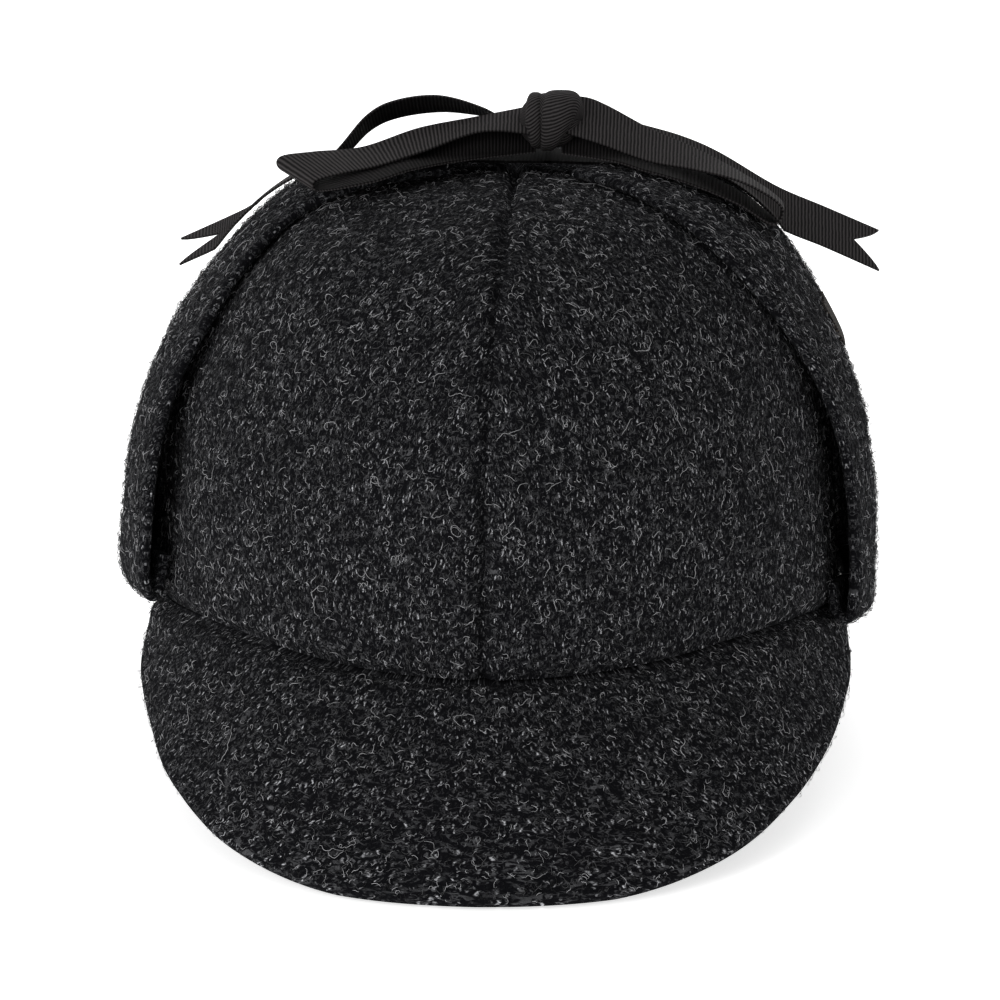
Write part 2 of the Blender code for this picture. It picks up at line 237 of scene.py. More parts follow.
# How the sewn tweed is pressed in at its seams.
SEAM_WIDTH = 0.0015
RIM_PRESS = 0.0013
RIM_PRESS_WIDTH = 0.0022
LEVEL_WIDTH = 0.0040            # a peak's inside is cut level this near its seam
SEAM_SWELL = 0.0005
SWELL_PLACE = 0.0050
SWELL_WIDTH = 0.0030
WAVE_COUNT = 9
WAVE_DEPTH = 0.00016
WAVE_LENGTHS = (0.022, 0.060)
WAVE_SEED = 5
PEAK_WAVES = 0.6                # the stiffened peaks' waves, as a share of the crown's
INNER_PRESS = 0.6               # how much of a seam's press shows inside the crown
THINNEST = 0.10                 # share of its thickness that a hem keeps at its very edge

# The tweed's pattern; a noise's scale is in waves on a millimetre, and pairs are where a part fades.
FLECKS = (
    # size, slant, sharpness, brightness, least brightness, relief
    (1.0, 0.9, 7.0, 1.20, 0.010, 0.6),
    (0.62, -0.7, 8.0, 1.00, 0.006, 0.35),
)
FLECK_EDGE = (0.05, 0.30)
FLECK_START = (0.00, 0.14)
FLECK_END = (0.36, 0.58)
HERRINGBONE_SLOPE = 1.15
YARN_JOG = 0.30                 # how far yarns lie out of step, as a share of the float's period
STIR_SCALE = 0.45
STIR_REACH = (1.3, 1.0, 0.0)    # in millimetres
BLOTCH_SCALE = 0.22
BLOTCH_FADE = (0.30, 0.72)
SPECK_SCALE = 3.2
SPECK_FADE = (0.34, 0.66)
SPECK_RELIEF = 0.30
TWEED_RELIEF = 0.00030
HAIRS = (
    # scale, shift, brightness
    (0.62, 3.0, 0.15),
    (1.05, 41.0, 0.105),
)
HAIR_WIDTH = (0.02, 0.10)
HAIR_BREAKS = (0.50, 0.64)

# The ribbon's pattern, with painted shade and painted highlight.
RIB_WAVER = 0.30
RIB_SHARPNESS = 1.4
RIB_RELIEF = 0.00016
RIBBON_SHARES = (0.86, 0.20, 0.14)    # of the ribs' painted shade and highlight, of the wear and of slow unevenness
RIBBON_RANGE = (0.02, 2.50)     # its darkest and palest, as shares of its colour, reached mostly by the ribs' painted shade and painted highlight
# Painted shade on the back of the loops and tails, for the shade inside the bow's loops.
BACK_PAINTED_SHADE = 0.70
TIE_PAINTED_SHADE = 0.25                # painted shade on the ties under the knot, on top of the back's painted shade

# Loose wool fibres.
FIBRE_RADIUS = 0.000068
FIBRE_SIDES = 3
FIBRE_TAPER = 0.55
FIBRE_WOBBLE = 0.55
FIBRE_SEAT = 0.00008            # how high a fibre's ends lie over the cloth
FIBRE_RISE = 0.00045            # how high its middle mostly rises
WOOL_LEVELS = {"wool_dim": 0.022, "wool_mid": 0.10, "wool_pale": 0.46}
WOOL_SHARES = (0.46, 0.34, 0.20)
WOOL_THINNING = {"rear": 0.55, "peak": 0.85}
EDGE_MARGIN = 0.36              # how far fibres keep from a skin's edges, as a share of their length
TABLE_CLEARANCE = 0.0004
CURLS = {
    # points along a fibre, shortest and longest, most it turns, share of the fibres
    "short": (6, 0.0010, 0.0036, 4.5, 0.80),
    "mid": (9, 0.0030, 0.0062, 6.0, 0.18),
    "long": (20, 0.0080, 0.0150, 7.5, 0.02),
}

FLOOR_HALF = 2.5
BACKDROP_HEIGHT = 3.0
BACKDROP_BEND = 0.8
KEY_PLACE = (-1.02, -0.98, 0.66)
KEY_SIZE = 1.0
TOP_PLACE = (0.1, 0.75, 1.42)
TOP_SIZE = 1.2
CAMERA_ELEVATION = 16.0
CAMERA_YAW = 2.5
CAMERA_DISTANCE = 1.5
CAMERA_TARGET = (0.0, 0.0, 0.0626)
CAMERA_LENS = 207.9


# ---- settings

def metres(name, default, description):
    """A setting that is a length, in metres."""
    return FloatProperty(name=name, description=description, default=default, subtype="DISTANCE",
                         unit="LENGTH")


def shade(name, default, description):
    """A setting that is a colour."""
    return FloatVectorProperty(name=name, description=description, default=default, size=3, min=0.0,
                               max=1.0, subtype="COLOR")


def amount(name, default, low, high, description, unit="NONE"):
    """A setting that is a number between two bounds."""
    return FloatProperty(name=name, description=description, default=default, min=low, max=high, unit=unit)


class HatSizes(bpy.types.PropertyGroup):
    """Sizes that a user would change."""

    crown_half_width: metres("Crown half width", 0.0880, "Outside the crown, at the rim")
    crown_half_length: metres("Crown half length", 0.1000, "Outside the crown, at the rim")
    crown_top: metres("Crown top", 0.1500, "Height of the crown's top above the table")
    peak_reach: metres("Peak reach", 0.0392, "How far a peak stands out at its middle")
    peak_thickness: metres("Peak thickness", 0.0045, "Two layers of tweed on a stiff board")
    flap_thickness: metres("Flap thickness", 0.0030, "Tweed outside and inside")
    ribbon_width: metres("Ribbon width", 0.0150, "Width of the ribbon that the flaps are tied with")
    seam_depth: metres("Seam depth", 0.0021, "How far the crown's seams are pressed in")


class HatCloth(bpy.types.PropertyGroup):
    """Colours and pattern of the cloth."""

    ground: shade("Ground", (0.0058, 0.0059, 0.0070), "Darkest yarn of the tweed")
    fleck: shade("Fleck", (0.560, 0.564, 0.590), "Palest yarn of the tweed")
    ribbon: shade("Ribbon", (0.0240, 0.0222, 0.0225), "Ribbon between its ribs' shadows")
    label: shade("Label", (0.012, 0.012, 0.013), "Face of the sewn label")
    label_thread: shade("Label thread", (0.120, 0.100, 0.085), "Pale threads of the sewn label")
    yarn_pitch: amount("Yarn pitch", 0.70, 0.2, 5.0, "From one upright yarn to the next, in millimetres")
    float_period: amount("Float period", 2.7, 0.5, 20.0,
                         "From one fleck of a yarn to its next, in millimetres")
    chevron_width: amount("Chevron width", 10.0, 1.0, 100.0,
                          "Width of one side of the herringbone, in millimetres")
    rib_pitch: amount("Rib pitch", 0.95, 0.1, 5.0, "From one rib of the ribbon to the next, in millimetres")
    wool_density: amount("Wool density", 0.34, 0.0, 2.0, "Loose fibres on a square millimetre of tweed")
    wool_seed: IntProperty(
        name="Wool seed", description="Changes where the loose fibres lie", default=11)


class HatStage(bpy.types.PropertyGroup):
    """Floor and light."""

    floor: shade("Floor", (0.93, 0.93, 0.93), "Colour of the floor and backdrop")
    glow: amount("Backdrop glow", 0.72, 0.0, 5.0, "Light that the backdrop gives off by itself")
    surround: amount("Surround", 0.42, 0.0, 10.0, "Strength of the light from all sides")
    key: amount("Key light", 9.0, 0.0, 1000.0, "Power of the large light in front on the left", "POWER")
    fill: amount("Top light", 5.0, 0.0, 1000.0, "Power of the soft light above and behind", "POWER")


def sizes():
    return bpy.context.scene.hat_sizes


# ---- shapes

def smooth_table(rows, share):
    """Read a table at shares of its length, on a smooth curve through its rows."""
    rows = np.asarray(rows, float)
    last = len(rows) - 1
    place = np.clip(np.asarray(share, float), 0.0, 1.0) * last
    start = np.minimum(place.astype(int), last - 1)
    t = (place - start)[..., None]
    a, b, c, d = (rows[np.clip(start + step, 0, last)] for step in (-1, 0, 1, 2))
    curve = 2 * b + (c - a) * t + (2 * a - 5 * b + 4 * c - d) * t**2 + (3 * b - a - 3 * c + d) * t**3
    return np.moveaxis(curve / 2, -1, 0)


def unit(vectors):
    return vectors / np.maximum(np.linalg.norm(vectors, axis=-1, keepdims=True), 1e-12)


def rim_level(longitude):
    """Height of the rim; longitude 0 is +X and 90 degrees is the back."""
    from_peak = np.arccos(np.minimum(1.0, np.abs(np.sin(longitude)))) / (math.pi / 2)
    arch, side = smooth_table(RIM_SHAPE, from_peak)
    return RIM_FRONT + RIM_ARCH * arch + (RIM_SIDE - RIM_FRONT) * side


def crown_point(longitude, climb, inset=0.0):
    """Points of the crown; climb runs from 0 at the rim to 1 at the top, and straight down below 0."""
    longitude, climb = np.broadcast_arrays(longitude, climb)
    angle = np.clip(climb, 0.0, 1.0) * math.pi / 2
    spread = np.cos(angle) ** (2 / PLAN_POWER)
    rise = np.sin(angle) ** (2 / RISE_POWER)
    rim = rim_level(longitude)
    x = (sizes().crown_half_width - inset) * spread * np.cos(longitude) + CROWN_LEAN * rise**LEAN_POWER
    y = (sizes().crown_half_length - inset) * spread * np.sin(longitude)
    z = rim + (sizes().crown_top - inset - rim) * (rise + np.minimum(climb, 0.0))
    return np.stack((x, y, z), axis=-1)


def grid_normals(points, outward=True):
    """Normals of a grid of points, turned away from the hat's inside."""
    normals = unit(np.cross(np.gradient(points, axis=0), np.gradient(points, axis=1)))
    if outward:
        middle = np.array((0.0, 0.0, sizes().crown_top / 2))
        if np.sum(normals * (points - middle)) < 0:
            normals = -normals
    return normals


def run_lengths(points, axis):
    """Distance along a grid's lines, from where they start."""
    steps = np.linalg.norm(np.diff(points, axis=axis), axis=-1)
    pad = [(0, 0), (0, 0)]
    pad[axis] = (1, 0)
    return np.cumsum(np.pad(steps, pad), axis=axis)


def edge_distance(points, axis):
    """Distances along a grid's lines from their start and from their end."""
    run = run_lengths(points, axis)
    total = run[-1:] if axis == 0 else run[:, -1:]
    return run, total - run


def crowded(count, crowding):
    """Shares from 0 to 1 that lie closer together at both ends."""
    share = np.linspace(0.0, 1.0, count + 1)
    return share - crowding * np.sin(2 * math.pi * share) / (2 * math.pi)


def hem_shares(count, hem):
    """Shares from 0 to 1 with a few close to each end, where a hem of that share is rounded."""
    close = hem * np.array((0.0, 0.05, 0.2, 0.5, 0.8))
    even = np.linspace(hem * 1.2, 1 - hem * 1.2, count - 2 * len(close) + 1)
    return np.concatenate((close, even, 1 - close[::-1]))


def round_hem(distance, half):
    """Half the cloth's thickness at a distance from its rounded edge."""
    inside = np.clip(distance / half, 0.0, 1.0)
    return half * np.maximum(np.sqrt(1 - (1 - inside) ** 2), THINNEST)


def bell(distance, width):
    return np.exp(-((distance / width) ** 2))


def swollen(distance):
    """The swell beside a seam, as a share of its height."""
    return bell(distance - SWELL_PLACE, SWELL_WIDTH)


def cloth_waves(points):
    """Slow unevenness of a soft crown, in metres out of its surface."""
    rng = np.random.default_rng(WAVE_SEED)
    total = np.zeros(points.shape[:-1])
    for _ in range(WAVE_COUNT):
        direction = unit(rng.normal(size=3))
        length = rng.uniform(*WAVE_LENGTHS)
        total += np.sin(points @ direction * 2 * math.pi / length + rng.uniform(0, 2 * math.pi))
    return total * WAVE_DEPTH


def flat_lay(points):
    """The cloth spread flat from its middle line, in millimetres."""
    middle = points.shape[0] // 2
    across = run_lengths(points, 0)
    across = across - across[middle]
    along = np.broadcast_to(run_lengths(points, 1)[middle], across.shape)
    return np.stack((across, along), axis=-1) / MM


def even_climbs(highest):
    """Climbs in rows that lie closer together at the rim and at the top, by length up the crown."""
    fine = np.linspace(0.0, highest, ARC_SAMPLES)
    run = run_lengths(crown_point(np.array([[math.pi / 4]]), fine[None, :]), 1)[0]
    return np.interp(crowded(PANEL_STEPS[1], PANEL_CROWDING[1]) * run[-1], run, fine)


def crown_panel_skins(right, rear):
    """A quarter of the crown, pressed in along its seams and its rim."""
    tip_spread = CROWN_TIP_RADIUS / sizes().crown_half_width
    highest = math.acos(tip_spread ** (PLAN_POWER / 2)) / (math.pi / 2)
    climb = even_climbs(highest)[None, :]
    longitude = crowded(PANEL_STEPS[0], PANEL_CROWDING[0])[:, None] * math.pi / 2
    skins = []
    for inset in (0.0, CROWN_WALL):
        points = crown_point(longitude, climb, inset)
        lean = crown_point(np.full_like(longitude, math.pi / 2), climb, inset)[..., 0]
        points[..., 0] = right * (points[..., 0] - lean + SEAM_GAP / 2) + lean
        points[..., 1] = rear * (points[..., 1] + SEAM_GAP / 2)
        skins.append(points)
    outer, inner = skins
    flat = flat_lay(outer)
    side_seam, middle_seam = edge_distance(outer, 0)
    rim = run_lengths(outer, 1)
    press = sizes().seam_depth * (bell(middle_seam, SEAM_WIDTH) + bell(side_seam, SEAM_WIDTH))
    press = np.minimum(press, sizes().seam_depth) + RIM_PRESS * bell(rim, RIM_PRESS_WIDTH)
    swell = SEAM_SWELL * (swollen(middle_seam) + swollen(rim))
    settled = np.minimum(1.0, rim / SWELL_PLACE) * np.minimum(1.0, middle_seam / SWELL_PLACE)
    normal = grid_normals(outer)
    inner = inner - normal * (press * INNER_PRESS)[..., None]
    outer = outer + normal * (swell - press + cloth_waves(outer) * settled)[..., None]
    return outer, inner, flat


def peak_skins(rear):
    """A stiffened crescent from the rim down to the table, with a round edge."""
    hat = sizes()
    half = hat.peak_thickness / 2
    u = hem_shares(PEAK_STEPS[0], PEAK_HEM)
    v = crowded(PEAK_STEPS[1], PEAK_CROWDING)
    angle = (2 * u - 1)[:, None] * PEAK_END_ANGLE
    longitude = np.radians(90 - angle)
    reach, lift = smooth_table(PEAK_SHAPE, np.abs(angle) / 90)
    seam = crown_point(longitude, np.zeros_like(longitude))
    seam[..., 2] -= SEAM_GAP
    outward = seam / (hat.crown_half_width**2, hat.crown_half_length**2, 1.0)
    outward[..., 2] = 0.0
    outward = unit(outward)
    past = np.maximum(0.0, (np.abs(angle) - PEAK_ROUND_START) / (PEAK_END_ANGLE - PEAK_ROUND_START))
    ends = np.sqrt(1 - PEAK_ROUNDING * past**2)
    out = (hat.peak_reach + PEAK_EDGE_FILL) * reach * ends
    drop = (seam[..., 2] - PEAK_END_LIFT * np.maximum(lift, 0.0)) * ends
    size = np.hypot(drop, out)
    slope_out, slope_up = drop / size, out / size
    end = 1 - half * (1 - slope_out + slope_up) / drop
    share = v[None, :] * end
    bulge = PEAK_CROWNING * 4 * share * (1 - share) * reach
    normal = outward * slope_out[..., None]
    normal[..., 2] = slope_up
    top = seam + outward * (out * share)[..., None]
    top[..., 2] = seam[..., 2] - drop * share
    top += normal * bulge[..., None]
    middle = top - normal * half
    from_seam, from_edge = edge_distance(middle, 1)
    hem = np.minimum.reduce((*edge_distance(middle, 0), from_edge))
    thickness = round_hem(hem, half)[..., None]
    press = RIM_PRESS * bell(from_seam, RIM_PRESS_WIDTH) - SEAM_SWELL * swollen(from_seam)
    waves = cloth_waves(top) * PEAK_WAVES * np.minimum(1.0, from_seam / SWELL_PLACE)
    outer = middle + normal * (thickness + (waves - press)[..., None] * thickness / half)
    inner = middle - normal * thickness
    level = bell(from_seam, LEVEL_WIDTH)[..., None]
    inner = inner * (1 - level) + (top - outward * (hat.peak_thickness / slope_out)[..., None]) * level
    flat = unrolled(seam, outward, slope_up, run_lengths(outer, 1))
    for skin in (outer, inner):
        skin[..., 1] *= rear
    return outer, inner, flat


def unrolled(seam, outward, tilt, run):
    """A crescent's cloth spread flat, in millimetres; tilt is how level its slope lies."""
    turn = np.unwrap(np.arctan2(outward[:, 0, 1], outward[:, 0, 0]))
    middle = len(turn) // 2
    heading = np.concatenate(([0.0], np.cumsum(np.diff(turn) * (tilt[1:, 0] + tilt[:-1, 0]) / 2)))
    heading = heading - heading[middle]
    step = np.linalg.norm(np.diff(seam[:, 0], axis=0), axis=-1)
    between = (heading[1:] + heading[:-1]) / 2
    steps = np.stack((np.cos(between), np.sin(between)), -1) * step[:, None]
    line = np.concatenate(([[0.0, 0.0]], np.cumsum(steps, axis=0)))
    down = np.stack((np.sin(heading), -np.cos(heading)), axis=-1)
    return (line[:, None] + down[:, None] * run[..., None]) / MM


def flap_middle(right, u, v):
    """The middle of a flap's cloth; u runs from front to back and v from the rim to the tip."""
    seat = FLAP_CLEARANCE + sizes().flap_thickness / 2
    climb, out, left, right_width, swing = smooth_table(FLAP_SHAPE, v)
    width = right_width if right > 0 else left
    spread = math.radians(FLAP_HALF_ANGLE) * width * (2 * u - 1) + np.radians(swing)
    if right < 0:
        climb = climb + LEFT_FOLD_LIFT * np.interp(v, FOLD_REACH, (1.0, 0.0))
    longitude = spread if right > 0 else math.pi - spread
    climb = np.broadcast_to(climb, longitude.shape)
    low = np.maximum(climb, 0.0)
    side = crown_point(longitude + SLOPE_STEP, climb) - crown_point(longitude - SLOPE_STEP, climb)
    up = crown_point(longitude, low + SLOPE_STEP) - crown_point(longitude, low - SLOPE_STEP)
    offset = (seat + (FLAP_STANDOFF - seat) * out)[..., None]
    return crown_point(longitude, climb) + unit(np.cross(side, up)) * offset


def flap_skins(right):
    """An ear flap folded up over the crown, with round hems on its three free edges."""
    half = sizes().flap_thickness / 2
    u, v = (hem_shares(FLAP_STEPS[axis], FLAP_HEMS[axis]) for axis in (0, 1))
    u, v = np.broadcast_arrays(u[:, None], v[None, :])
    middle = flap_middle(right, u, v)
    normal = grid_normals(middle)
    hem = np.minimum.reduce((*edge_distance(middle, 0), edge_distance(middle, 1)[1]))
    thickness = round_hem(hem, half)[..., None]
    waves = (cloth_waves(middle) * np.minimum(1.0, hem / SWELL_PLACE))[..., None]
    outer = middle + normal * (thickness + waves)
    return outer, middle - normal * (thickness - waves), flat_lay(outer)


def label_skins():
    """A small label sewn on the outside of the right flap."""
    def place(u, v):
        return flap_middle(1, np.asarray(u, float), np.asarray(v, float))

    across, along = LABEL_PLACE
    tenth = 0.1
    u_size = np.linalg.norm(place(across + tenth, along) - place(across, along)) / tenth
    v_size = np.linalg.norm(place(across, along + tenth) - place(across, along)) / tenth
    u = across + (hem_shares(LABEL_STEPS[0], LABEL_HEMS[0]) - 0.5)[:, None] * LABEL_SIZE[0] / u_size
    v = along + (hem_shares(LABEL_STEPS[1], LABEL_HEMS[1])[None, :] - 0.5) * LABEL_SIZE[1] / v_size
    u, v = np.broadcast_arrays(u, v)
    middle = flap_middle(1, u, v)
    normal = grid_normals(middle)
    lift = sizes().flap_thickness / 2 + GAP
    return middle + normal * (lift + LABEL_THICKNESS), middle + normal * lift, flat_lay(middle)


def cover_height(x, y):
    """Height of the flaps' outer side over the crown's top, at places seen from above."""
    grow = FLAP_CLEARANCE + sizes().flap_thickness
    rise = np.ones_like(x)
    for _ in range(LEAN_ROUNDS):
        across = (x - CROWN_LEAN * rise**LEAN_POWER) / (sizes().crown_half_width + grow)
        spread = np.hypot(across, y / (sizes().crown_half_length + grow))
        rise = np.maximum(0.0, 1 - spread**PLAN_POWER) ** (1 / RISE_POWER)
    return RIM_FRONT + (sizes().crown_top + grow - RIM_FRONT) * rise


def tie_end(side):
    return flap_middle(side, np.array([0.5]), np.array([1.0]))[0, 0] + side * TIE_LAP


def ribbon_seat(x):
    """Least height of a ribbon's middle over the flaps, where it also clears the ties."""
    beyond = np.where(x > KNOT_OFFSET, x - tie_end(1), tie_end(-1) - x)
    beyond = np.clip(beyond / TIE_EASE, 0.0, 1.0)
    ease = beyond * beyond * (3 - 2 * beyond)
    return RIBBON_CLEARANCE + RIBBON_THICKNESS / 2 + (GAP + RIBBON_THICKNESS) * (1 - ease)


def knot_middle():
    lowest = cover_height(np.array([KNOT_OFFSET]), np.array([0.0]))[0] + TIE_OVERLAP + 2 * GAP
    return np.array((KNOT_OFFSET, KNOT_BACK, lowest + KNOT_HEIGHT / 2))


def ribbon_skins(path, reach, side, notch):
    """A bow's loop or tail, which leaves the knot on the given side and lies clear above the ties."""
    u = np.linspace(0.0, 1.0, RIBBON_STEPS[0] + 1)[:, None]
    v = np.linspace(0.0, 1.0, RIBBON_STEPS[1] + 1)[None, :] * (1 - notch / reach * (1 - np.abs(2 * u - 1)))
    out, sway, rise, turn, lean, width = smooth_table(path, v)
    start = knot_middle() + (side * (KNOT_WIDTH / 2 + GAP - KNOT_SINK), 0, 0)
    beyond = side * out * (reach + KNOT_SINK)
    points = start + np.stack((beyond, sway * KNOT_HEIGHT, rise * KNOT_HEIGHT), axis=-1)
    turn, lean = np.radians(turn), np.radians(lean)
    edge = np.stack((side * np.sin(turn) * np.cos(lean), np.cos(turn) * np.cos(lean), np.sin(lean)), axis=-1)
    points = points + edge * (sizes().ribbon_width * width * (u - 0.5))[..., None]
    floor = cover_height(points[..., 0], points[..., 1]) + ribbon_seat(points[..., 0])
    points[..., 2] = np.maximum(points[..., 2], floor)
    normal = grid_normals(points, outward=False) * -side
    half = RIBBON_THICKNESS / 2
    flat = flat_lay(points)
    flat[..., 1] = np.interp(v, v[0], run_lengths(points, 1)[0]) / MM
    return points + normal * half, points - normal * half, flat


def tie_skins(side):
    """The ribbon sewn on a flap's tip, lying over the crown's top as far as the knot."""
    meeting = KNOT_OFFSET - side * TIE_OVERLAP
    u = np.linspace(-0.5, 0.5, TIE_STEPS[0] + 1)[:, None]
    v = np.linspace(0.0, 1.0, TIE_STEPS[1] + 1)[None, :]
    x = meeting + (tie_end(side) - meeting) * v + 0 * u
    y = sizes().ribbon_width * u + 0 * v
    low = np.stack((x, y, cover_height(x, np.zeros_like(y)) + GAP), axis=-1)
    return low + (0, 0, RIBBON_THICKNESS), low, flat_lay(low)


# ---- materials

class Value:
    """A socket that can be reckoned with: each expression adds its Math node."""

    def __init__(self, finish, socket):
        self.finish = finish
        self.socket = socket

    def math(self, operation, *others):
        return self.finish.node("ShaderNodeMath", {"operation": operation}, dict(enumerate((self, *others))))

    def __add__(self, other):
        return self.math("ADD", other)

    def __mul__(self, other):
        return self.math("MULTIPLY", other)

    def __sub__(self, other):
        return self.math("SUBTRACT", other)

    def __rsub__(self, other):
        return self.finish.node("ShaderNodeMath", {"operation": "SUBTRACT"}, {0: other, 1: self})

    def __truediv__(self, other):
        return self.math("DIVIDE", other)

    def __pow__(self, other):
        return self.math("POWER", other)

    __radd__ = __add__
    __rmul__ = __mul__


class Finish:
    """A material and its nodes."""

    def __init__(self, name):
        self.material = bpy.data.materials.new(name)
        self.material.use_nodes = True
        self.tree = self.material.node_tree
        self.shader = self.tree.nodes["Principled BSDF"]

    def node(self, kind, settings, inputs, output=0):
        """Add a node with its settings and the values or links of its sockets, and give an output."""
        node = self.tree.nodes.new(kind)
        for name, value in settings.items():
            setattr(node, name, value)
        for name, value in inputs.items():
            if isinstance(value, Value):
                self.tree.links.new(value.socket, node.inputs[name])
            else:
                node.inputs[name].default_value = value
        return Value(self, node.outputs[output])

    def mix(self, factor, first, second):
        """Mix two colours."""
        return self.node("ShaderNodeMix", {"data_type": "RGBA"}, {0: factor, 6: first, 7: second}, 2)

    def lay(self):
        """Places on the spread cloth."""
        return self.node("ShaderNodeUVMap", {"uv_map": CLOTH_MAP}, {})

    def bump(self, height, distance, strength):
        inputs = {"Strength": strength, "Distance": distance, "Height": height}
        return self.node("ShaderNodeBump", {}, inputs)

    def noise(self, place, scale, detail, output=0):
        inputs = {"Vector": place, "Scale": scale, "Detail": detail}
        return self.node("ShaderNodeTexNoise", {"noise_dimensions": "2D"}, inputs, output)

    def split(self, place):
        return [self.node("ShaderNodeSeparateXYZ", {}, {"Vector": place}, axis) for axis in (0, 1)]

    def feed(self, **inputs):
        """Set or link sockets of the surface; an underscore stands for a space."""
        for name, value in inputs.items():
            socket = self.shader.inputs[name.replace("_", " ")]
            if isinstance(value, Value):
                self.tree.links.new(value.socket, socket)
            else:
                socket.default_value = value
        return self.material


def opaque(colour, level=1.0):
    return (*(part * level for part in colour), 1.0)


def grown(share, low, high):
    """A share eased from 0 at low to 1 at high."""
    return share.finish.node(
        "ShaderNodeMapRange", {"interpolation_type": "SMOOTHSTEP"},
        {"Value": share, "From Min": low, "From Max": high, "To Min": 0.0, "To Max": 1.0})


def fleck_layer(finish, place, cloth, scale, lean):
    """Upright flecks of yarn in the slanting rows of a herringbone: their cover and their brightness."""
    pitch = cloth.yarn_pitch * scale
    period = cloth.float_period * scale
    u, v = finish.split(place)
    yarn = (u / pitch).math("FLOOR")
    middle = (yarn + 0.5) * pitch
    side = (middle / cloth.chevron_width).math("FLOOR")
    slant = middle.math("PINGPONG", cloth.chevron_width) * HERRINGBONE_SLOPE
    jog = finish.node("ShaderNodeTexWhiteNoise", {"noise_dimensions": "1D"}, {"W": yarn})
    row = (v + slant + jog * (YARN_JOG * period)) / period + side * 0.5
    step = row.math("FRACT")
    bend = (side.math("MODULO", 2.0) - 0.5) * lean
    across = ((u - middle) / pitch + (step - 0.3) * bend).math("ABSOLUTE")
    cover = (1 - grown(across, *FLECK_EDGE)) * grown(step, *FLECK_START) * (1 - grown(step, *FLECK_END))
    cell = finish.node("ShaderNodeCombineXYZ", {}, {"X": yarn, "Y": row.math("FLOOR"), "Z": scale})
    chance = finish.node("ShaderNodeTexWhiteNoise", {"noise_dimensions": "3D"}, {"Vector": cell})
    return cover, chance


def fibre_lines(finish, place, scale, shift):
    """Thin broken curls, as of fibres lying on the cloth: the level lines of a slow noise."""
    moved = finish.node("ShaderNodeVectorMath", {"operation": "ADD"}, {0: place, 1: (shift, shift, 0.0)})
    field = finish.node("ShaderNodeTexNoise", {"noise_dimensions": "2D"},
                        {"Vector": moved, "Scale": scale, "Detail": 1.0, "Distortion": 0.8})
    line = 1 - grown((field - 0.5).math("ABSOLUTE"), *(width * scale for width in HAIR_WIDTH))
    return line * grown(finish.noise(moved, scale * 0.75, 1.0), *HAIR_BREAKS)


def tweed_finish(cloth):
    """Near-black herringbone tweed with small pale flecks."""
    finish = Finish("tweed_cloth")
    lay = finish.lay()
    stir = finish.node("ShaderNodeVectorMath", {"operation": "MULTIPLY_ADD"},
                       {0: finish.noise(lay, STIR_SCALE, 2.0, output=1), 1: STIR_REACH, 2: lay})
    blotch = grown(finish.noise(lay, BLOTCH_SCALE, 2.0), *BLOTCH_FADE)
    speck = grown(finish.noise(lay, SPECK_SCALE, 1.0), *SPECK_FADE)
    flecks, height = [], speck * SPECK_RELIEF
    for size, lean, sharpness, level, least, relief in FLECKS:
        cover, chance = fleck_layer(finish, stir, cloth, size, lean)
        flecks.append(cover * (chance**sharpness * level + least))
        height = height + cover * relief
    hairs = [fibre_lines(finish, lay, scale, shift) * level for scale, shift, level in HAIRS]
    bright = flecks[0].math("MAXIMUM", flecks[1]) * (blotch * 0.80 + 0.50) * (speck * 1.15 + 0.20)
    bright = bright.math("MAXIMUM", hairs[0].math("MAXIMUM", hairs[1]) * (blotch * 0.5 + 0.5))
    colour = finish.mix(bright.math("MINIMUM", 1.0), opaque(cloth.ground), opaque(cloth.fleck))
    normal = finish.bump(height, TWEED_RELIEF, 1.0)
    return finish.feed(Base_Color=colour, Roughness=0.95, Specular_IOR_Level=0.0, Normal=normal,
                       Sheen_Weight=0.01, Sheen_Roughness=0.5)


def ribbon_finish(cloth):
    """Dark ribbed ribbon with painted shade in its rib grooves and painted highlight on its rib tops, and
    painted shade on its back and, deepest, on the ties; the ribs run across it.
    """
    finish = Finish("ribbon_weave")
    lay = finish.lay()
    u, v = finish.split(lay)
    stray = finish.noise(lay, 0.35, 2.0)
    turn = (v + stray * RIB_WAVER) * (2 * math.pi / cloth.rib_pitch)
    wave = (turn.math("SINE") * 0.5 + 0.5) ** RIB_SHARPNESS
    worn = finish.noise(lay, 1.6, 2.0)
    # Painted shade: a ribbon's back is darkened, and a tie more, standing in for the shade inside the loops
    # and under the knot.
    back = u.math("GREATER_THAN", BACK_SHIFT / 2) * BACK_PAINTED_SHADE
    painted_shade = back + u.math("GREATER_THAN", BACK_SHIFT * 1.5) * TIE_PAINTED_SHADE
    ribs, wear, slow = RIBBON_SHARES
    # The ribs' wave paints highlight on their tops and shade in their grooves.
    level = (wave * ribs + worn * wear + stray * slow) * (1 - painted_shade)
    dark, pale = (opaque(cloth.ribbon, share) for share in RIBBON_RANGE)
    colour = finish.mix(level.math("MINIMUM", 1.0), dark, pale)
    normal = finish.bump(wave + worn * 0.25, RIB_RELIEF, 0.8)
    return finish.feed(Base_Color=colour, Roughness=0.75, Specular_IOR_Level=0.03, Normal=normal)


def label_finish(cloth):
    """Dark woven label, plain."""
    finish = Finish("label_weave")
    lay = finish.lay()
    grain = grown(finish.noise(lay, 1.6, 3.0), 0.42, 0.75)
    colour = finish.mix(grain, opaque(cloth.label, 0.8), opaque(cloth.label_thread))
    return finish.feed(Base_Color=colour, Roughness=0.85, Specular_IOR_Level=0.05)


def wool_finish(name, level):
    """Wool fibres of one brightness."""
    return Finish(name).feed(Base_Color=(level, level, level * 1.03, 1.0), Roughness=0.9,
                             Specular_IOR_Level=0.1)


